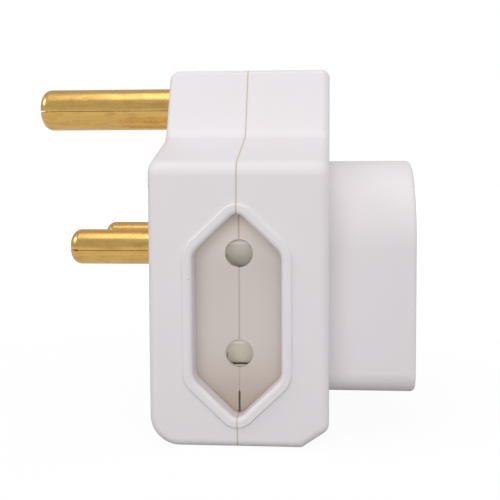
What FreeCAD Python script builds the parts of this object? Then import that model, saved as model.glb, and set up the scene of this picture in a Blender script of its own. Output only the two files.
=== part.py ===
import FreeCAD, Part
import math
import os

# Multi socket adapter: a two-shell moulded body with three plug pins behind, a recess for a
# two-pin plug on each side, and a block for a three-pin plug in front.
# Frame: X runs forwards from the rear mating face, Y across, Z up. The origin lies on the
# rear mating face, midway between the live and neutral pins.

Vector = FreeCAD.Vector

# Plug pins
earth_pin_diameter = 8.7
line_pin_diameter = 7.05
earth_pin_reach = 28.6
line_pin_reach = 18.6
line_pin_pitch = 25.4
earth_pin_rise = 28.6
pin_tip_round = 1.9
pin_tail_wall = 0.8
pin_neck_overhang = 0.3
pin_collar_overhang = 0.7
pin_collar_thickness = 1.4
earth_tail_radius = 3.1
line_tail_radius = 2.4
rivet_spread = 0.8
rivet_head_thickness = 0.8
pin_seam_width = 0.1
pin_slit_width = 0.35
pin_slit_length = 2.0
pin_seam_angle = 8.0
pin_hole_clearance = 0.1

# Body outline
body_depth = 33.4
body_half_width = 27.5
body_bottom = -36.0
shoulder_height = 16.5
ridge_foot_half_width = 10.7
ridge_foot_height = 22.2
ridge_top_half_width = 5.0
body_top = 36.2
shoulder_round = 3.0
ridge_foot_round = 4.0
rear_bottom_round = 5.6
rear_top_round = 2.2
front_top_round = 1.7
front_chamfer_run = 5.0
front_chamfer_rise = 3.4
front_chamfer_round = 2.0
edge_round = 1.5
inner_corner_round = 0.3

# Shell
side_wall = 2.0
rear_wall = 3.0
front_wall = 2.4
parting_plane = 16.5
parting_gap = 0.12
lip_thickness = 1.0
lip_reach = 1.8
lip_root = 2.2
lip_clearance = 0.1

# Front block and its three holes
block_half_width = 20.0
block_earth_height = 9.2
block_top_margin = 8.1
block_foot_margin = 8.4
block_top_round = 16.5
block_bottom_round = 4.0
block_front = 50.0
block_wall = 1.8
block_face = 3.0
block_edge_round = 0.9
block_hole_clearance = 0.35
block_hole_chamfer = 0.6

# Side recess
recess_centre = -11.5
recess_half_width = 8.2
recess_half_straight = 11.6
recess_half_height = 19.4
recess_corner_round = 3.0
recess_tip_round = 1.6
recess_depth = 4.6
recess_wall = 1.6
recess_floor = 1.3
rim_width = 2.0
rim_height = 0.5
rim_outer_round = 0.45
rim_mouth_round = 0.8
side_hole_diameter = 5.3
side_hole_pitch = 19.0
side_hole_rise = 1.8
floor_slit_width = 0.4
floor_slit_height = 4.4

# Shutters
shutter_thickness = 1.5
shutter_half_width = 4.2
shutter_rail = 1.35
shutter_ramp_depth = 3.6
shutter_ramp_web = 1.4
shutter_overlap = 0.35
shutter_clearance = 0.15
guide_wall = 1.5
guide_lap = 1.0
spring_radius = 1.9
spring_wire = 0.4
spring_turns = 5.0
spring_length = 10.0
shelf_thickness = 1.5

# Contacts and busbars
bar_thickness = 0.8
bar_plane = 5.8
bar_low = -12.0
bar_high = -6.0
bar_margin = 3.4
line_grip = 0.05
line_sleeve_wall = 0.6
line_sleeve_length = 12.0
earth_sleeve_wall = 0.7
earth_tab_setback = 1.4
sleeve_setback = 0.4
sleeve_slot = 0.8
side_pin_diameter = 4.0
side_sleeve_wall = 0.6
side_sleeve_gap = 1.75
side_flange_width = 1.0
side_flange_thickness = 0.5
tail_width = 6.0
earth_bar_half_width = 3.5
earth_tab_height = 0.4
earth_tab_length = 5.0
contact_rivet_radius = 0.9
contact_rivet_head = 1.6
contact_rivet_thickness = 0.6
fit_clearance = 0.05
pin_pass_clearance = 0.2

# Screws
screw_spread = 9.0
screw_upper_height = 13.5
screw_lower_height = -29.5
screw_diameter = 2.9
screw_bite = 0.1
screw_hole_clearance = 0.15
screw_length = 22.0
screw_head_diameter = 5.4
screw_head_thickness = 1.8
screw_head_depth = 3.2
screw_head_clearance = 0.3
screw_slot_width = 0.8
screw_slot_depth = 0.8
boss_wall = 1.5

# Working allowances: how far a cutter runs past what it cuts, how far apart two faces still
# count as one, how far the end outline runs past the body, and half the size of a block that
# holds the whole adapter
margin = 1.0
sliver = 0.001
outline_spare = 12.0
beyond = 100.0

# Places worked out from the sizes above
earth_radius = earth_pin_diameter / 2
line_radius = line_pin_diameter / 2
line_offset = line_pin_pitch / 2
block_line_height = block_earth_height - earth_pin_rise
block_top = block_earth_height + block_top_margin
block_bottom = block_line_height - block_foot_margin
side_face = body_half_width + rim_height
pin_opening = pin_neck_overhang + pin_hole_clearance
recess_back = side_face - recess_depth
floor_back = recess_back - recess_floor
hole_centre = recess_centre + side_hole_rise
upper_hole = hole_centre + side_hole_pitch / 2
lower_hole = hole_centre - side_hole_pitch / 2
side_hole_radius = side_hole_diameter / 2
collar_back = rear_wall + pin_collar_thickness
bar_foot_front = collar_back + bar_thickness
bar_outer = bar_plane + bar_thickness
block_inside_front = block_front - block_face
screw_places = [
    (side * screw_spread, height)
    for side in (-1, 1)
    for height in (screw_upper_height, screw_lower_height)
]


def box(x0, x1, y0, y1, z0, z1):
    """A block between two corners."""
    return Part.makeBox(x1 - x0, y1 - y0, z1 - z0, Vector(x0, y0, z0))


def rod_x(radius, x0, x1, y, z):
    """A round bar along X."""
    return Part.makeCylinder(radius, x1 - x0, Vector(x0, y, z), Vector(1, 0, 0))


def rod_y(radius, y0, y1, x, z):
    """A round bar along Y."""
    return Part.makeCylinder(radius, y1 - y0, Vector(x, y0, z), Vector(0, 1, 0))


def rod_z(radius, z0, z1, x, y):
    """A round bar along Z."""
    return Part.makeCylinder(radius, z1 - z0, Vector(x, y, z0), Vector(0, 0, 1))


def mirrored(shape):
    """The same shape on the other side of the middle plane."""
    return shape.mirror(Vector(0, 0, 0), Vector(0, 1, 0))


def joined(shapes):
    """One solid made of several that overlap."""
    result = shapes[0]
    for shape in shapes[1:]:
        result = result.fuse(shape)
    return result.removeSplitter()


def inset(corners, distance):
    """A closed outline moved inwards by a distance; a negative distance moves it outwards."""
    count = len(corners)
    area = sum(
        corners[i][0] * corners[(i + 1) % count][1] - corners[(i + 1) % count][0] * corners[i][1]
        for i in range(count)
    )
    turn = 1 if area > 0 else -1
    moved = []
    for i in range(count):
        u0, v0, _ = corners[i - 1]
        u1, v1, radius = corners[i]
        u2, v2, _ = corners[(i + 1) % count]
        before = math.hypot(u1 - u0, v1 - v0)
        after = math.hypot(u2 - u1, v2 - v1)
        a = ((u1 - u0) / before, (v1 - v0) / before)
        b = ((u2 - u1) / after, (v2 - v1) / after)
        bend = (a[0] * b[1] - a[1] * b[0]) * turn
        slant = distance * turn / (1 + a[0] * b[0] + a[1] * b[1])
        u = u1 + slant * (-a[1] - b[1])
        v = v1 + slant * (a[0] + b[0])
        new_radius = radius - distance if bend > 0 else radius + distance
        moved.append((u, v, max(new_radius, inner_corner_round)))
    return moved


def outline_face(corners, place):
    """A flat face from corners (u, v, radius): an arc at each corner, or none where it is zero."""
    count = len(corners)
    starts = []
    middles = []
    ends = []
    for i in range(count):
        u0, v0, _ = corners[i - 1]
        u1, v1, radius = corners[i]
        u2, v2, _ = corners[(i + 1) % count]
        before = math.hypot(u0 - u1, v0 - v1)
        after = math.hypot(u2 - u1, v2 - v1)
        a = ((u0 - u1) / before, (v0 - v1) / before)
        b = ((u2 - u1) / after, (v2 - v1) / after)
        half = math.acos(max(-1, min(1, a[0] * b[0] + a[1] * b[1]))) / 2
        cut = radius / math.tan(half)
        bisector = (a[0] + b[0], a[1] + b[1])
        length = math.hypot(bisector[0], bisector[1])
        reach = radius / math.sin(half) - radius
        starts.append((u1 + a[0] * cut, v1 + a[1] * cut))
        ends.append((u1 + b[0] * cut, v1 + b[1] * cut))
        middles.append((u1 + bisector[0] / length * reach, v1 + bisector[1] / length * reach))
    edges = []
    for i in range(count):
        start, middle, end = place(*starts[i]), place(*middles[i]), place(*ends[i])
        if corners[i][2] > 0:
            edges.append(Part.Arc(start, middle, end).toShape())
        following = place(*starts[(i + 1) % count])
        if end.distanceToPoint(following) > sliver:
            edges.append(Part.LineSegment(end, following).toShape())
    return Part.Face(Part.Wire(edges))


def end_prism(corners, x0, x1):
    """An outline in the YZ plane carried along X."""
    face = outline_face(corners, lambda y, z: Vector(x0, y, z))
    return face.extrude(Vector(x1 - x0, 0, 0))


def side_prism(corners, y0, y1):
    """An outline in the XZ plane carried along Y."""
    face = outline_face(corners, lambda x, z: Vector(x, y0, z))
    return face.extrude(Vector(0, y1 - y0, 0))


def rounded(solid, radius, keep):
    """The solid with a round on each edge that a test picks."""
    edges = [edge for edge in solid.Edges if keep(edge)]
    return solid.makeFillet(radius, edges)


def lies_between(edge, axis, low, high):
    """Whether the whole edge lies between two values of one coordinate."""
    bounds = edge.BoundBox
    smallest = (bounds.XMin, bounds.YMin, bounds.ZMin)[axis]
    largest = (bounds.XMax, bounds.YMax, bounds.ZMax)[axis]
    return smallest > low and largest < high


def body_end_corners():
    """The body seen from behind: wide below, sloping shoulders, and a narrow ridge on top."""
    slope = (ridge_foot_half_width - ridge_top_half_width) / (body_top - ridge_foot_height)
    tip = ridge_top_half_width - slope * outline_spare
    half = [
        (body_half_width, body_bottom - outline_spare, edge_round),
        (body_half_width, shoulder_height, shoulder_round),
        (ridge_foot_half_width, ridge_foot_height, ridge_foot_round),
        (tip, body_top + outline_spare, tip / 2),
    ]
    other = [(-y, z, radius) for y, z, radius in reversed(half)]
    return half + other


def body_side_corners():
    """The body seen from the side, with its bottom corners."""
    return [
        (0, body_bottom, rear_bottom_round),
        (body_depth - front_chamfer_run, body_bottom, 0),
        (body_depth, body_bottom + front_chamfer_rise, front_chamfer_round),
        (body_depth, body_top, front_top_round),
        (0, body_top, rear_top_round),
    ]


def block_corners():
    """The front block seen from the front: a broad arch on a squarer foot."""
    return [
        (block_half_width, block_bottom, block_bottom_round),
        (block_half_width, block_top, block_top_round),
        (-block_half_width, block_top, block_top_round),
        (-block_half_width, block_bottom, block_bottom_round),
    ]


def recess_corners():
    """The six-sided mouth of a side recess, in X and Z."""
    points = [
        (recess_half_width, -recess_half_straight, recess_corner_round),
        (recess_half_width, recess_half_straight, recess_corner_round),
        (0, recess_half_height, recess_tip_round),
        (-recess_half_width, recess_half_straight, recess_corner_round),
        (-recess_half_width, -recess_half_straight, recess_corner_round),
        (0, -recess_half_height, recess_tip_round),
    ]
    return [(parting_plane + x, recess_centre + z, radius) for x, z, radius in points]


def body_outside():
    """The outer form of the body, with its edges rounded and the front block on it."""
    wide = body_half_width * 2
    body = end_prism(body_end_corners(), -margin, body_depth + margin)
    body = body.common(side_prism(body_side_corners(), -wide, wide))
    loops = [edge for edge in body.Edges if is_outer_loop(edge)]
    body = body.makeFillet(edge_round, loops)
    block = end_prism(block_corners(), body_depth - front_wall, block_front)
    on_front = lambda edge: lies_between(edge, 0, block_front - sliver, block_front + sliver)
    block = rounded(block, block_edge_round, on_front)
    return body.fuse(block)


def is_outer_loop(edge):
    """Whether an edge belongs to the two loops where the sides meet the ends, top and bottom."""
    bounds = edge.BoundBox
    along_x = bounds.YLength < sliver and bounds.ZLength < sliver
    if along_x:
        low = abs(bounds.ZMin - body_bottom) < sliver
        high = abs(bounds.ZMin - body_top) < sliver
        return low or high
    across = bounds.XLength < sliver and bounds.ZLength < sliver
    return not across


def body_inside():
    """The hollow of the body and of the front block."""
    wide = body_half_width * 2
    ends = inset(body_end_corners(), side_wall)
    sides = [
        (rear_wall, body_bottom + side_wall, rear_bottom_round - side_wall),
        (body_depth - front_wall, body_bottom + side_wall, front_chamfer_rise),
        (body_depth - front_wall, body_top - side_wall, front_top_round),
        (rear_wall, body_top - side_wall, inner_corner_round),
    ]
    hollow = end_prism(ends, 0, body_depth).common(side_prism(sides, -wide, wide))
    block_rear = body_depth - front_wall - margin
    block = end_prism(inset(block_corners(), block_wall), block_rear, block_inside_front)
    return hollow.fuse(block)


def recess_block():
    """The walls and floor of one side recess, standing inwards from the side wall."""
    outline = inset(recess_corners(), -recess_wall)
    return side_prism(outline, floor_back, body_half_width - side_wall + fit_clearance)


def recess_rim():
    """The raised rim round one side recess: a ring with a rounded outer edge and mouth."""
    base = body_half_width - side_wall
    ring = side_prism(inset(recess_corners(), -rim_width), base, side_face)
    ring = ring.cut(side_prism(recess_corners(), base - margin, side_face + margin))
    middle = inset(recess_corners(), -rim_width / 2)
    on_top = lambda edge: lies_between(edge, 1, side_face - sliver, side_face + sliver)
    at_mouth = lambda edge: on_top(edge) and lies_in(middle, *middle_of(edge))
    at_outside = lambda edge: on_top(edge) and not lies_in(middle, *middle_of(edge))
    ring = rounded(ring, rim_mouth_round, at_mouth)
    return rounded(ring, rim_outer_round, at_outside)


def middle_of(edge):
    """The X and Z of the middle of an edge."""
    point = edge.valueAt((edge.FirstParameter + edge.LastParameter) / 2)
    return point.x, point.z


def lies_in(corners, x, z):
    """Whether a point in X and Z lies inside an outline with its corners taken as sharp."""
    inside = False
    for i in range(len(corners)):
        x1, z1, _ = corners[i - 1]
        x2, z2, _ = corners[i]
        if (z1 > z) != (z2 > z) and x < x1 + (z - z1) / (z2 - z1) * (x2 - x1):
            inside = not inside
    return inside


def recess_seat():
    """What is taken out of the side wall for the recess and its rim."""
    return side_prism(inset(recess_corners(), -rim_width / 2), recess_back, side_face + margin)


def recess_hollow():
    """What is taken out of one side: the recess, its two holes and the slit at the foot of its floor."""
    pieces = [side_prism(recess_corners(), recess_back, side_face + margin)]
    for height in (upper_hole, lower_hole):
        pieces.append(
            rod_y(side_hole_radius, floor_back - margin, recess_back + margin, parting_plane, height)
        )
    low = recess_centre - recess_half_height
    half = floor_slit_width / 2
    pieces.append(
        box(
            parting_plane - half, parting_plane + half,
            floor_back - margin, recess_back + margin,
            low, low + floor_slit_height,
        )
    )
    return pieces


def shutter_guide():
    """The frame behind one recess floor: two rails that a shutter slides in, and a shelf on top.

    The rails are joined below, and the shelf takes the upper end of the shutter's spring.
    """
    low = lower_hole - side_hole_radius - shutter_overlap - shutter_clearance
    shelf_low = upper_hole + side_hole_radius + shutter_overlap + spring_length
    top = shelf_low + shelf_thickness
    outer = shutter_half_width + shutter_clearance + guide_wall
    inner = shutter_half_width - guide_lap
    slide = shutter_half_width + shutter_clearance
    back = floor_back - shutter_thickness - 2 * shutter_clearance
    x = parting_plane
    frame = box(x - outer, x + outer, back - guide_wall, floor_back, low - guide_wall, top)
    passage = box(x - inner, x + inner, back - guide_wall - margin, floor_back + margin, low, shelf_low)
    channel = box(x - slide, x + slide, back, floor_back + margin, low, shelf_low)
    reach = spring_radius + guide_wall
    shelf = box(x - reach, x + reach, spring_place() - reach, floor_back, shelf_low, top)
    return joined([frame.cut(passage).cut(channel), shelf])


def spring_place():
    """How far from the middle plane a shutter spring stands."""
    return floor_back - shutter_clearance - (shutter_thickness + shutter_ramp_depth) / 2


def whole_housing():
    """Both shells in one, before they are parted."""
    shell = body_outside().cut(body_inside())
    additions = []
    for side in (1, -1):
        pieces = [recess_block(), recess_rim()]
        opening = recess_seat()
        if side < 0:
            pieces = [mirrored(piece) for piece in pieces]
            opening = mirrored(opening)
        shell = shell.cut(opening)
        additions += pieces
    boss = screw_diameter / 2 + boss_wall
    seat = screw_head_diameter / 2 + boss_wall
    for y, z in screw_places:
        additions.append(rod_x(boss, rear_wall / 2, body_depth - front_wall / 2, y, z))
        additions.append(rod_x(seat, rear_wall / 2, screw_head_depth + boss_wall, y, z))
    shell = shell.fuse(additions)
    removals = []
    for side in (1, -1):
        pieces = recess_hollow()
        if side < 0:
            pieces = [mirrored(piece) for piece in pieces]
        removals += pieces
    removals += block_holes()
    return shell.cut(removals)


def block_holes():
    """The three holes in the front face of the block, each with a lead-in."""
    places = [(0, block_earth_height, earth_radius)]
    places += [(side * line_offset, block_line_height, line_radius) for side in (-1, 1)]
    holes = []
    for y, z, radius in places:
        hole = radius + block_hole_clearance
        holes.append(rod_x(hole, block_inside_front - margin, block_front + margin, y, z))
        holes.append(
            Part.makeCone(
                hole, hole + block_hole_chamfer * 2, block_hole_chamfer * 2,
                Vector(block_front - block_hole_chamfer, y, z), Vector(1, 0, 0),
            )
        )
    return holes


def rear_housing(whole):
    """The rear shell: it carries the plug pins and takes the screw heads."""
    edge = parting_plane - parting_gap / 2
    shell = whole.common(box(-margin, edge, -beyond, beyond, -beyond, beyond))
    bridges = []
    boss = screw_diameter / 2 + boss_wall
    for y, z in screw_places:
        bridges.append(rod_x(boss, parting_plane - margin, parting_plane + parting_gap / 2, y, z))
    shell = shell.fuse(bridges)
    cuts = [
        rod_x(earth_radius + pin_opening, -margin, rear_wall + margin, 0, earth_pin_rise),
        rod_x(line_radius + pin_opening, -margin, rear_wall + margin, line_offset, 0),
        rod_x(line_radius + pin_opening, -margin, rear_wall + margin, -line_offset, 0),
    ]
    shank = screw_diameter / 2 + screw_hole_clearance
    head = screw_head_diameter / 2 + screw_head_clearance
    for y, z in screw_places:
        cuts.append(rod_x(shank, -margin, parting_plane + margin, y, z))
        cuts.append(rod_x(head, -margin, screw_head_depth, y, z))
    return shell.cut(cuts)


def front_housing(whole):
    """The front shell: it carries the block, and a lip that fits inside the rear shell.

    It is one moulding, kept as three solids that meet face to face: the body's half, the walls
    of the block, and the wall of the block's face.
    """
    edge = parting_plane + parting_gap / 2
    shell = whole.common(box(edge, block_front + margin, -beyond, beyond, -beyond, beyond))
    shell = shell.fuse(inner_lip())
    cuts = []
    pilot = screw_diameter / 2 - screw_bite
    for y, z in screw_places:
        cuts.append(rod_x(pilot, parting_plane - margin, screw_head_depth + screw_length + margin, y, z))
    shell = shell.cut(cuts)
    steps = [0, body_depth, block_inside_front, block_front + margin]
    solids = []
    for start, end in zip(steps, steps[1:]):
        solids += shell.common(box(start, end, -beyond, beyond, -beyond, beyond)).Solids
    return Part.makeCompound(solids)


def inner_lip():
    """A thin ring inside the parting line, left out beside the recesses."""
    wide = body_half_width * 2

    def ring(distance, x0, x1):
        low = body_bottom + side_wall + distance
        high = body_top - side_wall - distance
        sides = [
            (x0 - margin, low, inner_corner_round),
            (x1 + margin, low, inner_corner_round),
            (x1 + margin, high, inner_corner_round),
            (x0 - margin, high, inner_corner_round),
        ]
        outline = inset(body_end_corners(), side_wall + distance)
        return end_prism(outline, x0, x1).common(side_prism(sides, -wide, wide))

    edge = parting_plane + parting_gap / 2
    front = edge + lip_root
    lip = ring(lip_clearance, parting_plane - lip_reach, front)
    root = ring(-side_wall / 4, edge, front)
    hollow = ring(lip_clearance + lip_thickness, parting_plane - lip_reach - margin, front + margin)
    inner = ridge_foot_half_width
    top = upper_hole + side_hole_radius + spring_length + shelf_thickness + margin
    clear = [
        box(0, body_depth, inner, wide, -beyond, top),
        box(0, body_depth, -wide, -inner, -beyond, top),
    ]
    return lip.fuse(root).cut([hollow] + clear)


def plug_pin(radius, reach, tail_radius, y, z):
    """A rolled brass pin: round tip, open seam, collar, and a tail spread over its busbar."""
    tail_end = bar_foot_front + rivet_head_thickness
    bore = tail_radius - pin_tail_wall
    neck = radius + pin_neck_overhang
    collar = radius + pin_collar_overhang
    head = tail_radius + rivet_spread
    quarter = pin_tip_round * (1 - math.sqrt(0.5))
    points = [
        (-reach, 0),
        (-reach, radius - pin_tip_round),
        (-reach + quarter, radius - quarter),
        (-reach + pin_tip_round, radius),
        (0, radius),
        (0, neck),
        (rear_wall, neck),
        (rear_wall, collar),
        (collar_back, collar),
        (collar_back, tail_radius),
        (bar_foot_front, tail_radius),
        (bar_foot_front, head),
        (tail_end, head),
        (tail_end, bore),
        (-reach + pin_tip_round, bore),
        (-reach + pin_tip_round, 0),
    ]
    places = [Vector(x, y, z + r) for x, r in points]
    edges = [
        Part.LineSegment(places[0], places[1]).toShape(),
        Part.Arc(places[1], places[2], places[3]).toShape(),
    ]
    for start, end in zip(places[3:], places[4:] + places[:1]):
        edges.append(Part.LineSegment(start, end).toShape())
    pin = Part.Face(Part.Wire(edges)).revolve(Vector(0, y, z), Vector(1, 0, 0), 360)
    seam_half = pin_seam_width / 2
    slit_half = pin_slit_width / 2
    slit_end = -reach + pin_slit_length
    seam = box(-reach - margin, -pin_hole_clearance, y - collar, y, z - seam_half, z + seam_half)
    slit = box(-reach - margin, slit_end, y - collar, y, z - slit_half, z + slit_half)
    for opening in (seam, slit):
        opening.rotate(Vector(0, y, z), Vector(1, 0, 0), pin_seam_angle)
    return pin.cut([seam, slit])


def pin_foot_hole(tail_radius, y, z):
    """The hole in a busbar that a pin's tail passes through."""
    return rod_x(tail_radius + fit_clearance, collar_back - margin, bar_foot_front + margin, y, z)


def line_busbar(tab_height, side_height):
    """A folded strip on the far side of the middle: foot on the pin, run forwards, and two tabs.

    The tab at tab_height holds the contact of its own side, and a strip across the body holds
    the contact of the other side at the same height.
    """
    front = block_inside_front - line_sleeve_length - sleeve_setback + tail_width
    foot_far = line_offset + line_tail_radius + bar_thickness * 2
    foot_top = line_tail_radius + bar_thickness * 2
    foot = box(collar_back, bar_foot_front, bar_plane, foot_far, bar_low, foot_top)
    run = box(collar_back, front, bar_plane, bar_outer, bar_low, bar_high)
    low = min(tab_height - bar_margin, bar_low)
    high = max(tab_height + bar_margin, bar_high)
    rear = parting_plane - bar_margin
    ahead = parting_plane + bar_margin
    tab = box(rear, ahead, bar_plane, bar_outer, low, high)
    across_x = rear if side_height > 0 else ahead - bar_thickness
    strip_low = tab_height - bar_margin
    strip_high = tab_height + bar_margin
    across = box(across_x, across_x + bar_thickness, -bar_outer, bar_outer, strip_low, strip_high)
    flange = box(rear, ahead, -bar_outer, -bar_plane, strip_low, strip_high)
    bar = joined([foot, run, tab, across, flange])
    pass_radius = side_pin_diameter / 2 + pin_pass_clearance
    rivet_hole = contact_rivet_radius + fit_clearance
    cuts = [
        rod_y(pass_radius, -bar_outer - margin, bar_outer + margin, parting_plane, tab_height),
        pin_foot_hole(line_tail_radius, line_offset, 0),
        rod_y(rivet_hole, bar_plane - margin, bar_outer + margin, *tail_rivet_place()),
    ]
    return bar.cut(cuts)


def tail_rivet_place():
    """Where, in X and Z, a rivet joins a front contact's tail to its busbar."""
    rear = block_inside_front - sleeve_setback - line_sleeve_length
    return rear + tail_width / 2, (bar_low + bar_high) / 2


def earth_busbar():
    """A folded strip from the earth pin down and forwards to the earth contact."""
    low = earth_bar_low()
    top = earth_pin_rise + earth_tail_radius + bar_thickness * 2
    foot = box(collar_back, bar_foot_front, -earth_bar_half_width, earth_bar_half_width, low, top)
    front = earth_tab_rear() + earth_tab_length
    run = box(collar_back, front, -earth_bar_half_width, earth_bar_half_width, low, low + bar_thickness)
    bar = joined([foot, run])
    rivet_hole = contact_rivet_radius + fit_clearance
    cuts = [
        pin_foot_hole(earth_tail_radius, 0, earth_pin_rise),
        rod_z(rivet_hole, low - margin, low + bar_thickness + margin, earth_rivet_x(), 0),
    ]
    return bar.cut(cuts)


def earth_bar_low():
    """The underside of the earth busbar's run: it lies on the earth contact's tab."""
    return block_earth_height + earth_radius - line_grip + earth_sleeve_wall + earth_tab_height


def earth_tab_rear():
    """Where the earth contact starts, behind: its tab stays clear of the front wall."""
    return body_depth - front_wall - earth_tab_setback - earth_tab_length


def earth_rivet_x():
    """Where along X a rivet joins the earth contact to its busbar."""
    return earth_tab_rear() + earth_tab_length / 2


def sleeve_x(inner, wall, length, y, z, open_angle):
    """A sprung sleeve along X that a front plug's pin slides into, open along one side."""
    front = block_inside_front - sleeve_setback
    rear = front - length
    half = sleeve_slot / 2
    ring = rod_x(inner + wall, rear, front, y, z)
    ring = ring.cut(rod_x(inner, rear - margin, front + margin, y, z))
    slot = box(rear - margin, front + margin, y, y + inner + wall + margin, z - half, z + half)
    slot.rotate(Vector(0, y, z), Vector(1, 0, 0), open_angle)
    return ring.cut(slot)


def front_earth_contact():
    """The earth sleeve with a raised tab under its busbar."""
    inner = earth_radius - line_grip
    rear = earth_tab_rear()
    ahead = rear + earth_tab_length
    half = earth_tab_length / 2
    length = block_inside_front - sleeve_setback - rear
    sleeve = sleeve_x(inner, earth_sleeve_wall, length, 0, block_earth_height, -90)
    low = block_earth_height + inner + earth_sleeve_wall / 2
    tab = box(rear, ahead, -half, half, low, earth_bar_low())
    tab = tab.cut(rod_x(inner, rear - margin, ahead + margin, 0, block_earth_height))
    rivet_hole = contact_rivet_radius + fit_clearance
    hole = rod_z(rivet_hole, block_earth_height + margin, earth_bar_low() + margin, earth_rivet_x(), 0)
    return joined([sleeve, tab]).cut(hole)


def front_line_contact():
    """A line sleeve on the far side, with a bent tail that lies against its busbar."""
    inner = line_radius - line_grip
    outer = inner + line_sleeve_wall
    sleeve = sleeve_x(inner, line_sleeve_wall, line_sleeve_length, line_offset, block_line_height, 0)
    rear = block_inside_front - sleeve_setback - line_sleeve_length
    top = block_line_height + outer
    low = top - line_sleeve_wall
    tail_outer = bar_outer + bar_thickness
    web = box(rear, rear + tail_width, bar_outer, line_offset, low, top)
    tail = box(rear, rear + tail_width, bar_outer, tail_outer, low, bar_high)
    rivet_hole = contact_rivet_radius + fit_clearance
    hole = rod_y(rivet_hole, bar_outer - margin, tail_outer + margin, *tail_rivet_place())
    return joined([sleeve, web, tail]).cut(hole)


def side_contact(height):
    """A small split sleeve along Y on the far side, seated by its flange on a busbar."""
    inner = side_pin_diameter / 2 - line_grip
    outer = inner + side_sleeve_wall
    deep = floor_back - shutter_clearance - shutter_thickness - shutter_ramp_depth
    end = deep - side_sleeve_gap
    seat = bar_outer + side_flange_thickness
    flange = rod_y(outer + side_flange_width, bar_outer, seat, parting_plane, height)
    sleeve = joined([flange, rod_y(outer, bar_outer, end, parting_plane, height)])
    sleeve = sleeve.cut(rod_y(inner, bar_outer - margin, end + margin, parting_plane, height))
    half = sleeve_slot / 2
    slot = box(
        parting_plane - half, parting_plane + half,
        seat, end + margin,
        height, height + outer + margin,
    )
    return sleeve.cut(slot)


def contact_rivets():
    """The rivets that hold the three front contacts to their busbars, as one group."""
    x, z = tail_rivet_place()
    inner = bar_plane - contact_rivet_thickness
    outer = bar_outer + bar_thickness + contact_rivet_thickness
    line = joined(
        [
            rod_y(contact_rivet_head, inner, bar_plane, x, z),
            rod_y(contact_rivet_radius, inner, outer, x, z),
            rod_y(contact_rivet_head, outer - contact_rivet_thickness, outer, x, z),
        ]
    )
    top = earth_bar_low() + bar_thickness
    low = block_earth_height + earth_radius + pin_pass_clearance
    earth = joined(
        [
            rod_z(contact_rivet_radius, low, top, earth_rivet_x(), 0),
            rod_z(contact_rivet_head, top, top + contact_rivet_thickness, earth_rivet_x(), 0),
        ]
    )
    return Part.makeCompound([line, mirrored(line), earth])


def shutter():
    """A sliding shutter on the far side: two ramps that cover the holes, joined by two rails."""
    face = floor_back - shutter_clearance
    back = face - shutter_thickness
    deep = back - shutter_ramp_depth
    cover = side_hole_radius + shutter_overlap
    low = lower_hole - cover
    high = upper_hole + cover
    inner = shutter_half_width - shutter_rail
    x = parting_plane
    plate = box(x - shutter_half_width, x + shutter_half_width, back, face, low, high)
    window_low = lower_hole + cover
    window_high = upper_hole - cover
    window = box(x - inner, x + inner, back - margin, face + margin, window_low, window_high)
    half = inner - shutter_clearance
    pieces = [plate.cut(window)]
    for height in (upper_hole, lower_hole):
        pieces.append(box(x - half, x + half, deep, face, height - cover, height + cover))
    body = joined(pieces)
    ramps = []
    for height in (upper_hole, lower_hole):
        start = height + cover - shutter_ramp_web
        foot = height - cover
        corners = [
            Vector(x - half, face + margin, start),
            Vector(x - half, face, start),
            Vector(x - half, deep + shutter_ramp_web, foot),
            Vector(x - half, deep + shutter_ramp_web, foot - margin),
            Vector(x - half, face + margin, foot - margin),
        ]
        ramp = Part.Face(Part.makePolygon(corners + corners[:1]))
        ramps.append(ramp.extrude(Vector(2 * half, 0, 0)))
    return body.cut(ramps)


def shutter_spring():
    """The coil spring between a shutter and its shelf, on the far side."""
    low = upper_hole + side_hole_radius + shutter_overlap
    radius = spring_radius - spring_wire / 2
    start = low + spring_wire / 2
    height = spring_length - spring_wire
    helix = Part.makeHelix(height / spring_turns, height, radius)
    half = spring_wire / 2
    corners = [
        Vector(radius - half, 0, -half),
        Vector(radius + half, 0, -half),
        Vector(radius + half, 0, half),
        Vector(radius - half, 0, half),
    ]
    section = Part.makePolygon(corners + corners[:1])
    coil = Part.Wire(helix.Edges).makePipeShell([section], True, True)
    coil.translate(Vector(parting_plane, spring_place(), start))
    return coil


def housing_screws():
    """The slotted screws that hold the two shells together, driven from behind, as one group."""
    screws = []
    seat = screw_head_depth
    top = seat - screw_head_thickness
    half = screw_slot_width / 2
    for y, z in screw_places:
        head = rod_x(screw_head_diameter / 2, top, seat, y, z)
        shank = rod_x(screw_diameter / 2, seat - screw_head_thickness / 2, seat + screw_length, y, z)
        slot = box(
            top - margin, top + screw_slot_depth,
            y - screw_head_diameter, y + screw_head_diameter,
            z - half, z + half,
        )
        screws.append(joined([head, shank]).cut(slot))
    return Part.makeCompound(screws)


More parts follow.
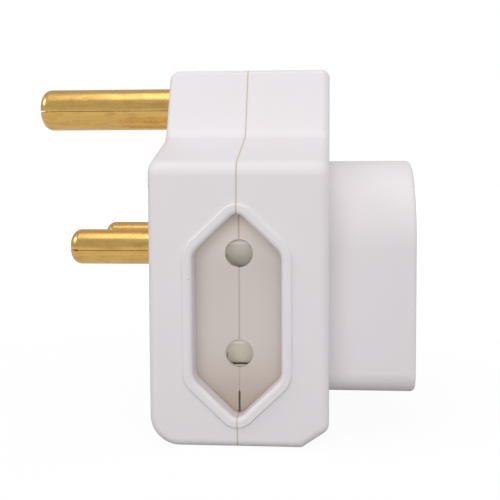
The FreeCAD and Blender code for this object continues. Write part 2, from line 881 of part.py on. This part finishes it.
def build():
    """Every piece by its node name."""
    whole = whole_housing()
    live_bar = line_busbar(upper_hole, 1)
    neutral_bar = mirrored(line_busbar(lower_hole, -1))
    line_contact = front_line_contact()
    upper_contact = side_contact(upper_hole)
    lower_contact = side_contact(lower_hole)
    far_guide = shutter_guide()
    far_shutter = shutter()
    far_spring = shutter_spring()
    return {
        "rear_housing": rear_housing(whole),
        "front_housing": front_housing(whole),
        "earth_pin": plug_pin(earth_radius, earth_pin_reach, earth_tail_radius, 0, earth_pin_rise),
        "live_pin": plug_pin(line_radius, line_pin_reach, line_tail_radius, line_offset, 0),
        "neutral_pin": plug_pin(line_radius, line_pin_reach, line_tail_radius, -line_offset, 0),
        "earth_busbar": earth_busbar(),
        "live_busbar": live_bar,
        "neutral_busbar": neutral_bar,
        "front_earth_contact": front_earth_contact(),
        "front_live_contact": line_contact,
        "front_neutral_contact": mirrored(line_contact),
        "right_live_contact": upper_contact,
        "left_live_contact": mirrored(upper_contact),
        "right_neutral_contact": lower_contact,
        "left_neutral_contact": mirrored(lower_contact),
        "contact_rivets": contact_rivets(),
        "right_shutter_guide": far_guide,
        "left_shutter_guide": mirrored(far_guide),
        "right_shutter": far_shutter,
        "left_shutter": mirrored(far_shutter),
        "right_shutter_spring": far_spring,
        "left_shutter_spring": mirrored(far_spring),
        "housing_screws": housing_screws(),
    }


def main():
    os.makedirs("parts", exist_ok=True)
    for name, shape in build().items():
        shape.exportStep("parts/" + name + ".step")
        print(name, len(shape.Solids), shape.isValid(), round(shape.Volume, 1))


main()
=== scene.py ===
import bpy
import numpy as np
from mathutils import Matrix, Vector


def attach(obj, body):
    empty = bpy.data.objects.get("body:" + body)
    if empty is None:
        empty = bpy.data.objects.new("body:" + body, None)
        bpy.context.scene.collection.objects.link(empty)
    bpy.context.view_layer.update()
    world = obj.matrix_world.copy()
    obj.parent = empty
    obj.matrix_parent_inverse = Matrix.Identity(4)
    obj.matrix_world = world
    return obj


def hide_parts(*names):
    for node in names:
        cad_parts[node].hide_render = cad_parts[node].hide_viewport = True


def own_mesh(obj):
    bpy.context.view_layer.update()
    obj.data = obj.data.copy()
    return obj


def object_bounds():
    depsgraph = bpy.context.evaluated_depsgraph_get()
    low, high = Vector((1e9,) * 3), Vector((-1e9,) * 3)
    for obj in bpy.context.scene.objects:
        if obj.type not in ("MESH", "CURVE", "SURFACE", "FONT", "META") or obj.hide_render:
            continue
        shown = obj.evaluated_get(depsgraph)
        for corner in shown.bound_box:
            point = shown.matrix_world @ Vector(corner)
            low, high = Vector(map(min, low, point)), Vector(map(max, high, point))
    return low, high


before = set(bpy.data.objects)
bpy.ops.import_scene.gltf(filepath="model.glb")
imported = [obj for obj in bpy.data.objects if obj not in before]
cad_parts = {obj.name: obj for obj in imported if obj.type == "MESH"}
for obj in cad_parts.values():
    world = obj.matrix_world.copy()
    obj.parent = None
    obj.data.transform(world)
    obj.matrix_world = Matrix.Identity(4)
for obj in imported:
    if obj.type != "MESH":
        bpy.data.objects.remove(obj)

cad_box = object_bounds()
scene = bpy.context.scene


# Moulded shells. The rear and front halves are moulded in a white, slightly glossy urea plastic
# with a very fine grain. The floors of the side recesses have yellowed, and light and shade are
# painted on them: a painted brightening towards their top and painted shade towards their foot.
# A little grime has soaked into the edges of the parting line.
parting_plane = 0.0165
recess_middle = -0.0115
recess_half_width = 0.0086
recess_half_height = 0.0200
white = (0.822, 0.783, 0.808, 1.0)
yellowed = (0.675, 0.610, 0.575, 1.0)
# Painted light and painted shade, multiplied into the recess floors at the top and at the foot.
painted_light_tint = (1.30, 1.30, 1.24, 1.0)
painted_shade_tint = (0.78, 0.735, 0.70, 1.0)
soaked_grime = (0.56, 0.45, 0.35, 1.0)
dark_speck = (0.30, 0.24, 0.18, 1.0)


def put(tree, value, socket):
    """Feed a socket with a value, which is another socket or a constant."""
    if isinstance(value, bpy.types.NodeSocket):
        tree.links.new(value, socket)
    else:
        socket.default_value = value


def maths(tree, operation, *values):
    """The result of a math node on one to three values."""
    node = tree.nodes.new("ShaderNodeMath")
    node.operation = operation
    for value, socket in zip(values, node.inputs):
        put(tree, value, socket)
    return node.outputs["Value"]


def ramp(tree, value, start=0.0, end=1.0, low=0.0, high=1.0, curve="LINEAR"):
    """The value taken from start and end to low and high, in a straight line or along a curve."""
    node = tree.nodes.new("ShaderNodeMapRange")
    node.interpolation_type = curve
    node.inputs["From Min"].default_value = start
    node.inputs["From Max"].default_value = end
    node.inputs["To Min"].default_value = low
    node.inputs["To Max"].default_value = high
    put(tree, value, node.inputs["Value"])
    return node.outputs["Result"]


def mixed(tree, share, first, second, blend="MIX", clamped=True):
    """The first colour with a share of the second in it, mixed or multiplied."""
    node = tree.nodes.new("ShaderNodeMix")
    node.data_type = "RGBA"
    node.blend_type = blend
    node.clamp_factor = clamped
    put(tree, share, node.inputs["Factor"])
    put(tree, first, node.inputs["A"])
    put(tree, second, node.inputs["B"])
    return node.outputs["Result"]


def noise(tree, place, scale, detail, roughness=0.5):
    """Smooth noise over a place in metres, with as many lumps to the metre as the scale says."""
    node = tree.nodes.new("ShaderNodeTexNoise")
    put(tree, place, node.inputs["Vector"])
    put(tree, scale, node.inputs["Scale"])
    node.inputs["Detail"].default_value = detail
    node.inputs["Roughness"].default_value = roughness
    return node.outputs["Fac"]


def new_material(name):
    """An empty material, its node tree and its shader."""
    material = bpy.data.materials.new(name)
    material.use_nodes = True
    return material, material.node_tree, material.node_tree.nodes["Principled BSDF"]


def raise_surface(tree, shader, height, strength, distance):
    """Let a height value bend the shader's normal, as relief of the given depth would."""
    bump = tree.nodes.new("ShaderNodeBump")
    bump.inputs["Strength"].default_value = strength
    bump.inputs["Distance"].default_value = distance
    tree.links.new(height, bump.inputs["Height"])
    tree.links.new(bump.outputs["Normal"], shader.inputs["Normal"])


def dress(pieces, material):
    """Give each named piece the one material."""
    for piece in pieces:
        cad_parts[piece].data.materials.clear()
        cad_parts[piece].data.materials.append(material)


def moulding_grain():
    """Node group: fine height grain, slow colour drift and rare dark specks.

    The grain and the drift are noise over the Object coordinates. A speck is the core of a cell
    in a cell pattern, and three cells in ten have one, picked by the cell's random colour.
    """
    group = bpy.data.node_groups.new("moulding_grain", "ShaderNodeTree")
    scale = group.interface.new_socket("Scale", in_out="INPUT", socket_type="NodeSocketFloat")
    scale.default_value = 900.0
    for output in ("Height", "Drift", "Specks"):
        group.interface.new_socket(output, in_out="OUTPUT", socket_type="NodeSocketFloat")
    enter = group.nodes.new("NodeGroupInput")
    leave = group.nodes.new("NodeGroupOutput")
    place = group.nodes.new("ShaderNodeTexCoord").outputs["Object"]
    group.links.new(noise(group, place, enter.outputs["Scale"], detail=3.0), leave.inputs["Height"])
    group.links.new(noise(group, place, scale=38.0, detail=1.5), leave.inputs["Drift"])
    cells = group.nodes.new("ShaderNodeTexVoronoi")
    cells.inputs["Scale"].default_value = 230.0
    group.links.new(place, cells.inputs["Vector"])
    colour = group.nodes.new("ShaderNodeSeparateColor")
    group.links.new(cells.outputs["Color"], colour.inputs["Color"])
    core = ramp(group, cells.outputs["Distance"], start=0.036, end=0.016)
    picked = maths(group, "GREATER_THAN", colour.outputs["Red"], 0.70)
    group.links.new(maths(group, "MULTIPLY", core, picked), leave.inputs["Specks"])
    return group


def grain_node(tree, scale):
    """The grain of the moulded plastic, as a node of a material."""
    node = tree.nodes.new("ShaderNodeGroup")
    node.node_tree = plastic_grain
    node.inputs["Scale"].default_value = scale
    return node


plastic_grain = moulding_grain()
shell_white, tree, shader = new_material("shell_white")
grain = grain_node(tree, scale=1400.0)
axes = tree.nodes.new("ShaderNodeSeparateXYZ")
tree.links.new(tree.nodes.new("ShaderNodeTexCoord").outputs["Object"], axes.inputs["Vector"])
# The floor tone fades out up the recess walls, which stay white there as painted light against their
# shade.
deep = ramp(tree, maths(tree, "ABSOLUTE", axes.outputs["Y"]), start=0.0248, end=0.0236)
across = maths(tree, "COMPARE", axes.outputs["X"], parting_plane, recess_half_width)
upright = maths(tree, "COMPARE", axes.outputs["Z"], recess_middle, recess_half_height)
recess = maths(tree, "MULTIPLY", maths(tree, "MULTIPLY", across, upright), deep)
drift = ramp(tree, grain.outputs["Drift"], start=0.35, end=0.80, high=0.16)
# Painted shade: on the recess floors the tone goes on darker than yellowed towards the foot.
foot = ramp(tree, axes.outputs["Z"], start=-0.0150, end=-0.0320, low=0.92, high=1.45)
yellowing_and_floor_shade = maths(tree, "MAXIMUM", drift, maths(tree, "MULTIPLY", recess, foot))
tone = mixed(tree, yellowing_and_floor_shade, white, yellowed, clamped=False)
# Painted light and shade on the recess floors: the first tint multiplies a painted brightening in towards
# the top, and the second multiplies painted shade in towards the foot.
for start, end, tint in ((-0.0040, 0.0070, painted_light_tint), (-0.0180, -0.0300, painted_shade_tint)):
    height = ramp(tree, axes.outputs["Z"], start, end, curve="SMOOTHSTEP")
    tone = mixed(tree, maths(tree, "MULTIPLY", recess, height), tone, tint, blend="MULTIPLY")
off_joint = maths(tree, "ABSOLUTE", maths(tree, "SUBTRACT", axes.outputs["X"], parting_plane))
soaked = ramp(tree, off_joint, start=0.00034, end=0.00008, high=0.30, curve="SMOOTHSTEP")
tone = mixed(tree, soaked, tone, soaked_grime)
tone = mixed(tree, grain.outputs["Specks"], tone, dark_speck)
tree.links.new(tone, shader.inputs["Base Color"])
tree.links.new(ramp(tree, grain.outputs["Drift"], low=0.40, high=0.52), shader.inputs["Roughness"])
raise_surface(tree, shader, grain.outputs["Height"], strength=0.12, distance=0.00008)
shader.inputs["IOR"].default_value = 1.50
dress(("rear_housing", "front_housing"), shell_white)


# Shutters and their guides. Two sliding plates moulded in a matt olive-grey plastic, which close
# the two-pin holes from behind, and the two frames of the same plastic that they slide in, welded
# to the back of the recess floors. Their colour is set near white, paler than the olive-grey, as
# painted light that lifts the shade inside the holes.
shutter_olive_painted_light, tree, shader = new_material("shutter_olive_painted_light")
grain = grain_node(tree, scale=900.0)
# Painted light: near-white colours, paler than the plastic's own olive-grey, lift the holes' shade.
tone = mixed(tree, grain.outputs["Drift"], (0.96, 0.92, 0.84, 1.0), (0.93, 0.88, 0.79, 1.0))
tree.links.new(tone, shader.inputs["Base Color"])
raise_surface(tree, shader, grain.outputs["Height"], strength=0.2, distance=0.0001)
shader.inputs["Roughness"].default_value = 0.62
dress(("left_shutter", "right_shutter", "left_shutter_guide", "right_shutter_guide"), shutter_olive_painted_light)


# Grime in the parting line. Brown dust has packed into the gap between the shells, just under the
# outer face, over the rims, down the recess floors and deep in the slit at their foot.
side_dust = 0.02747
rim_dust = 0.02797
floor_dust = 0.02337
slit_dust = 0.02220
upper_hole = -0.0002
lower_hole = -0.0192
hole_reach = 0.0027
slit_top = -0.0262
slit_foot = -0.0309
half_grime = 0.00025
crease = 0.00002
rim_edge = 0.00042
rim_mouth = 0.00083
arc_steps = 9


def rounded_path(corners):
    """Points along an open line through corners (y, z, radius), each rounded by an arc.

    An arc starts and ends at radius / tan(half the corner's angle) from the corner, and its centre
    lies at radius / sin(half the angle) along the bisector. The first and last corner stay sharp.
    """
    share = np.linspace(0.0, 1.0, arc_steps)[:, None]
    points = [np.array([corners[0][:2]])]
    for before, corner, after in zip(corners, corners[1:], corners[2:]):
        here = np.array(corner[:2])
        radius = corner[2]
        back = np.array(before[:2]) - here
        ahead = np.array(after[:2]) - here
        back = back / np.linalg.norm(back)
        ahead = ahead / np.linalg.norm(ahead)
        half = np.arccos(back @ ahead) / 2.0
        centre = here + (back + ahead) / np.linalg.norm(back + ahead) * radius / np.sin(half)
        first = here + back * radius / np.tan(half) - centre
        last = here + ahead * radius / np.tan(half) - centre
        spokes = first * (1.0 - share) + last * share
        points.append(centre + spokes / np.linalg.norm(spokes, axis=1)[:, None] * radius)
    points.append(np.array([corners[-1][:2]]))
    return np.concatenate(points)


def both_sides(corners):
    """Corners from the right side to the middle, then their mirror image on down the left side."""
    return corners + [(-y, z, radius) for y, z, radius in reversed(corners)]


# Half outlines in Y and Z with the round at each corner, 0.02 to 0.03 mm inside the shells' faces.
over_top = [
    (floor_dust, upper_hole + hole_reach, 0.0), (floor_dust, 0.00732, crease),
    (rim_dust, 0.00732, rim_mouth), (rim_dust, 0.00926, rim_edge), (side_dust, 0.00926, crease),
    (side_dust, 0.01648, 0.00300), (0.01068, 0.02217, 0.00400), (0.00498, 0.03617, 0.00150),
]
under_foot = [
    (0.02350, -0.03032, 0.0), (rim_dust, -0.03032, rim_mouth), (rim_dust, -0.03226, rim_edge),
    (side_dust, -0.03226, crease), (side_dust, -0.03597, 0.00150),
]
runs = [rounded_path(both_sides(over_top))[::-1], rounded_path(both_sides(under_foot))]
for depth, low, high in (
    (floor_dust, slit_top, lower_hole - hole_reach),
    (floor_dust, lower_hole + hole_reach, upper_hole - hole_reach),
    (slit_dust, slit_foot, slit_top),
):
    runs.append(np.array([(-depth, low), (-depth, high)]))
    runs.append(np.array([(depth, high), (depth, low)]))
# Each run becomes a strip across the gap. All go the same way round the body, up the left side, over
# the top, down the right side and back under the foot, so that the strips face outwards.
vertices = []
faces = []
first = 0
for run in runs:
    edges = [np.insert(run, 0, parting_plane + shift, axis=1) for shift in (-half_grime, half_grime)]
    vertices.append(np.stack(edges, axis=1).reshape(-1, 3))
    step = first + 2 * np.arange(len(run) - 1)
    faces.append(np.stack([step, step + 1, step + 3, step + 2], axis=1))
    first += 2 * len(run)
grime_mesh = bpy.data.meshes.new("parting_grime")
grime_mesh.from_pydata(np.concatenate(vertices).tolist(), [], np.concatenate(faces).tolist())
parting_grime = bpy.data.objects.new("parting_grime", grime_mesh)
scene.collection.objects.link(parting_grime)
packed_dust, tree, shader = new_material("packed_dust")
clots = noise(tree, tree.nodes.new("ShaderNodeTexCoord").outputs["Object"], scale=260.0, detail=3.0)
tone = mixed(tree, clots, (0.60, 0.51, 0.42, 1.0), (0.40, 0.31, 0.22, 1.0))
tree.links.new(tone, shader.inputs["Base Color"])
shader.inputs["Roughness"].default_value = 0.9
grime_mesh.materials.append(packed_dust)
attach(parting_grime, "adapter")


# Plug pins. Brass sheet is rolled into a round pin and drawn to size, so fine lines run along it, and
# its collar and its spread tail hold it in the rear wall. It is bright where it is handled, and
# tarnished to brown in patches and along the lines.
def stretched_noise(tree, axes, stretch, scale, detail, roughness):
    """Noise stretched along X: there the place is multiplied by a stretch below one."""
    place = tree.nodes.new("ShaderNodeCombineXYZ")
    tree.links.new(maths(tree, "MULTIPLY", axes.outputs["X"], stretch), place.inputs["X"])
    tree.links.new(axes.outputs["Y"], place.inputs["Y"])
    tree.links.new(axes.outputs["Z"], place.inputs["Z"])
    return noise(tree, place.outputs["Vector"], scale, detail, roughness)


def drawn_lines():
    """Node group: lines drawn along X, and a mask of where the brass has gone brown.

    The lines are fine noise, much stretched. The mask adds them to the tarnish, which is coarser
    noise, less stretched, and each counts from the level at which it starts to show.
    """
    group = bpy.data.node_groups.new("drawn_lines", "ShaderNodeTree")
    for name, stretch in (("Line Stretch", 0.03), ("Tarnish Stretch", 0.30)):
        socket = group.interface.new_socket(name, in_out="INPUT", socket_type="NodeSocketFloat")
        socket.default_value = stretch
    for name in ("Lines", "Worn"):
        group.interface.new_socket(name, in_out="OUTPUT", socket_type="NodeSocketFloat")
    enter = group.nodes.new("NodeGroupInput")
    leave = group.nodes.new("NodeGroupOutput")
    axes = group.nodes.new("ShaderNodeSeparateXYZ")
    group.links.new(group.nodes.new("ShaderNodeTexCoord").outputs["Object"], axes.inputs["Vector"])
    lines = stretched_noise(group, axes, enter.outputs["Line Stretch"], 2600.0, 4.0, 0.5)
    tarnish = stretched_noise(group, axes, enter.outputs["Tarnish Stretch"], 900.0, 6.0, 0.70)
    streaks = ramp(group, lines, start=0.35, end=0.75, high=0.26)
    patches = ramp(group, tarnish, start=0.48, end=0.80, high=0.50)
    worn = maths(group, "MINIMUM", maths(group, "ADD", patches, streaks), 1.0)
    group.links.new(lines, leave.inputs["Lines"])
    group.links.new(worn, leave.inputs["Worn"])
    return group


def brass(name, bright, brown, roughness, line_strength):
    """Brass that goes from bright to brown, and duller, where it has worn."""
    material, tree, shader = new_material(name)
    drawn = tree.nodes.new("ShaderNodeGroup")
    drawn.node_tree = brass_lines
    worn = drawn.outputs["Worn"]
    tree.links.new(mixed(tree, worn, bright, brown), shader.inputs["Base Color"])
    dull = ramp(tree, worn, low=roughness, high=roughness + 0.18)
    tree.links.new(dull, shader.inputs["Roughness"])
    raise_surface(tree, shader, drawn.outputs["Lines"], line_strength, distance=0.00005)
    shader.inputs["Metallic"].default_value = 1.0
    return material


brass_lines = drawn_lines()
pin_brass = brass("pin_brass", (0.98, 0.63, 0.20, 1.0), (0.44, 0.21, 0.06, 1.0), 0.25, 0.10)
dress(("earth_pin", "live_pin", "neutral_pin"), pin_brass)


# Busbars, contacts and their rivets. Strips and sleeves pressed from rolled brass sheet, duller
# than the pins. The busbars sit on the pins' tails and carry the contacts inside the shells.
strip_brass = brass("strip_brass", (0.74, 0.52, 0.22, 1.0), (0.40, 0.25, 0.11, 1.0), 0.42, 0.15)
dress(("earth_busbar", "live_busbar", "neutral_busbar", "contact_rivets"), strip_brass)
dress(("front_earth_contact", "front_live_contact", "front_neutral_contact"), strip_brass)
dress(("left_live_contact", "left_neutral_contact"), strip_brass)
dress(("right_live_contact", "right_neutral_contact"), strip_brass)


# Shutter springs. Coils of drawn steel wire with close end turns, one between each shutter and its
# shelf; in the adapter a coil closes up as its shutter slides open, but here each coil keeps its
# shape and is fixed to the adapter body.
spring_low = 0.0028
spring_high = 0.0128
spring_offset = 0.0194
coil_radius = 0.0017
wire_radius = 0.0002
coil_turns = 5.0
turn_steps = 32
wire_sides = 8
end_closeness = 0.75


def plating_clouds():
    """Node group: small patches where a zinc coat has gone cloudy, as noise."""
    group = bpy.data.node_groups.new("plating_clouds", "ShaderNodeTree")
    scale = group.interface.new_socket("Scale", in_out="INPUT", socket_type="NodeSocketFloat")
    scale.default_value = 700.0
    group.interface.new_socket("Clouds", in_out="OUTPUT", socket_type="NodeSocketFloat")
    enter = group.nodes.new("NodeGroupInput")
    leave = group.nodes.new("NodeGroupOutput")
    place = group.nodes.new("ShaderNodeTexCoord").outputs["Object"]
    clouds = noise(group, place, enter.outputs["Scale"], detail=3.0)
    group.links.new(clouds, leave.inputs["Clouds"])
    return group


def plated_steel(name, bright, cloudy, roughness):
    """Steel with a zinc coat: the colour and gloss go from bright to cloudy in small patches."""
    material, tree, shader = new_material(name)
    coat = tree.nodes.new("ShaderNodeGroup")
    coat.node_tree = zinc_clouds
    clouds = coat.outputs["Clouds"]
    tree.links.new(mixed(tree, clouds, bright, cloudy), shader.inputs["Base Color"])
    dull = ramp(tree, clouds, low=roughness, high=roughness + 0.2)
    tree.links.new(dull, shader.inputs["Roughness"])
    shader.inputs["Metallic"].default_value = 1.0
    return material


def wire_coil(name, offset):
    """A mesh tube along a helix about an upright axis, from the spring's foot to its shelf.

    The angle grows evenly. The height lags and then catches up by a sine of the share of the way,
    so the end turns lie close together. Rings of points stand square to the wire.
    """
    share = np.linspace(0.0, 1.0, int(coil_turns * turn_steps) + 1)
    angle = share * coil_turns * 2.0 * np.pi
    lag = end_closeness * np.sin(2.0 * np.pi * share) / (2.0 * np.pi)
    outward = np.stack([np.cos(angle), np.sin(angle), np.zeros_like(angle)], axis=1)
    line = np.array([parting_plane, offset, 0.0]) + outward * coil_radius
    line[:, 2] = spring_low + wire_radius + (spring_high - spring_low - 2.0 * wire_radius) * (share - lag)
    along = np.gradient(line, axis=0)
    along = along / np.linalg.norm(along, axis=1)[:, None]
    across = np.cross(along, outward)
    around = np.linspace(0.0, 2.0 * np.pi, wire_sides, endpoint=False)[None, :, None]
    spokes = np.cos(around) * outward[:, None, :] + np.sin(around) * across[:, None, :]
    rings = (line[:, None, :] + wire_radius * spokes).reshape(-1, 3)
    ring = wire_sides * np.arange(len(share) - 1)[:, None]
    here = np.arange(wire_sides)[None, :]
    beside = (here + 1) % wire_sides
    corners = (ring + here, ring + beside, ring + wire_sides + beside, ring + wire_sides + here)
    sides = np.stack(corners, axis=-1).reshape(-1, 4)
    low_end = list(range(wire_sides))[::-1]
    high_end = list(range(len(rings) - wire_sides, len(rings)))
    mesh = bpy.data.meshes.new(name)
    mesh.from_pydata(rings.tolist(), [], [low_end, *sides.tolist(), high_end])
    mesh.shade_smooth()
    coil = bpy.data.objects.new(name, mesh)
    scene.collection.objects.link(coil)
    return coil


zinc_clouds = plating_clouds()
wire_steel = plated_steel("wire_steel", (0.60, 0.60, 0.61, 1.0), (0.45, 0.45, 0.46, 1.0), 0.28)
for hand, offset in (("left", -spring_offset), ("right", spring_offset)):
    dress((hand + "_shutter_spring",), wire_steel)
    coil = wire_coil(hand + "_spring_wire", offset)
    coil.data.materials.append(wire_steel)
    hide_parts(hand + "_shutter_spring")
    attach(coil, "adapter")
    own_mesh(coil)


# Housing screws. Steel screws with a thin bright zinc coat that has gone cloudy in places; they are
# driven from behind and hold the two shells together.
screw_zinc = plated_steel("screw_zinc", (0.70, 0.70, 0.71, 1.0), (0.52, 0.53, 0.55, 1.0), 0.25)
dress(("housing_screws",), screw_zinc)


# Floor. A matt white sheet that the adapter stands on; it shows white to the camera, half as
# bright in the brass, and keeps a soft shadow under the body.
floor_gap = 0.0001
floor_reach = 3.0
shadow_start = 0.09
shadow_end = 0.30


def seen_share(tree, in_gloss):
    """How much of its full white a surface shows to a ray.

    It is 1 straight to the camera or through a gap, in_gloss in a glossy surface, and 0 as light.
    """
    path = tree.nodes.new("ShaderNodeLightPath")
    mirrored = maths(tree, "MULTIPLY", path.outputs["Is Glossy Ray"], in_gloss)
    seen = maths(tree, "MAXIMUM", path.outputs["Is Camera Ray"], mirrored)
    return maths(tree, "MAXIMUM", seen, path.outputs["Is Transmission Ray"])


square = np.array([(-1.0, -1.0, 0.0), (1.0, -1.0, 0.0), (1.0, 1.0, 0.0), (-1.0, 1.0, 0.0)])
floor_corners = square * floor_reach + np.array([0.0, 0.0, cad_box[0][2] - floor_gap])
floor_mesh = bpy.data.meshes.new("floor")
floor_mesh.from_pydata(floor_corners.tolist(), [], [(0, 1, 2, 3)])
floor = bpy.data.objects.new("floor", floor_mesh)
scene.collection.objects.link(floor)
floor_sheet, tree, shader = new_material("floor_sheet")
shader.inputs["Base Color"].default_value = (0.28, 0.275, 0.275, 1.0)
shader.inputs["Roughness"].default_value = 0.9
glow = tree.nodes.new("ShaderNodeEmission")
glow.inputs["Strength"].default_value = 1.18
away = tree.nodes.new("ShaderNodeVectorMath")
away.operation = "LENGTH"
tree.links.new(tree.nodes.new("ShaderNodeTexCoord").outputs["Object"], away.inputs[0])
fade = ramp(tree, away.outputs["Value"], shadow_start, shadow_end, low=0.80)
blend = tree.nodes.new("ShaderNodeMixShader")
tree.links.new(maths(tree, "MULTIPLY", fade, seen_share(tree, in_gloss=0.50)), blend.inputs["Fac"])
tree.links.new(shader.outputs["BSDF"], blend.inputs[1])
tree.links.new(glow.outputs["Emission"], blend.inputs[2])
tree.links.new(blend.outputs["Shader"], tree.nodes["Material Output"].inputs["Surface"])
floor_mesh.materials.append(floor_sheet)


# Light. Soft lamps above, in front, to the left, to the right, behind and at the block's end, and
# an even grey room that is white to the camera; the upper and left lamps show in the brass.
lamp_aim = Vector((0.01, 0.0, 0.0))
room = bpy.data.worlds.new("room")
scene.world = room
room.use_nodes = True
tree = room.node_tree
level = ramp(tree, seen_share(tree, in_gloss=0.10), low=0.41)
tree.links.new(level, tree.nodes["Background"].inputs["Strength"])
tree.nodes["Background"].inputs["Color"].default_value = (1.0, 1.0, 1.0, 1.0)


def lamp(name, place, size, power, shows):
    """A square area lamp at a place, turned to face the body, that shows in gloss or not."""
    light = bpy.data.lights.new(name, "AREA")
    light.size = size
    light.energy = power
    holder = bpy.data.objects.new(name, light)
    scene.collection.objects.link(holder)
    holder.location = place
    holder.visible_glossy = shows
    holder.rotation_euler = (lamp_aim - Vector(place)).to_track_quat("-Z", "Y").to_euler()


lamp("overhead_lamp", (0.0, -0.12, 0.54), size=0.38, power=0.58, shows=True)
lamp("front_lamp", (-0.05, -0.62, 0.10), size=0.60, power=2.20, shows=False)
lamp("left_lamp", (-0.46, -0.16, 0.34), size=0.20, power=0.60, shows=True)
lamp("right_lamp", (0.38, -0.50, 0.20), size=0.40, power=0.57, shows=False)
lamp("back_lamp", (0.0, 0.60, 0.14), size=0.60, power=1.00, shows=False)
lamp("end_lamp", (0.60, 0.15, 0.14), size=0.50, power=0.90, shows=False)


# Camera. It stands close to the left side, level with the body's front end and a little above its
# middle, and looks slightly back and down.
camera_place = (0.0333, -0.1690, 0.0143)
yaw, pitch, roll = np.radians([3.93, 3.60, -0.13])
focal_pixels = 784.6
picture_pixels = 500.0
camera_data = bpy.data.cameras.new("camera")
camera = bpy.data.objects.new("camera", camera_data)
scene.collection.objects.link(camera)
scene.camera = camera
forward = np.array([-np.sin(yaw) * np.cos(pitch), np.cos(yaw) * np.cos(pitch), -np.sin(pitch)])
level_right = np.array([np.cos(yaw), np.sin(yaw), 0.0])
level_up = np.cross(level_right, forward)
right = np.cos(roll) * level_right + np.sin(roll) * level_up
up = np.cos(roll) * level_up - np.sin(roll) * level_right
turn = Matrix(np.stack([right, up, -forward], axis=1).tolist()).to_4x4()
camera.matrix_world = Matrix.Translation(camera_place) @ turn
camera_data.sensor_width = 36.0
camera_data.lens = focal_pixels / picture_pixels * camera_data.sensor_width
camera_data.shift_x = -0.05
camera_data.shift_y = -0.05
camera_data.clip_start = 0.005
camera_data.clip_end = 10.0
scene.view_settings.view_transform = "Standard"
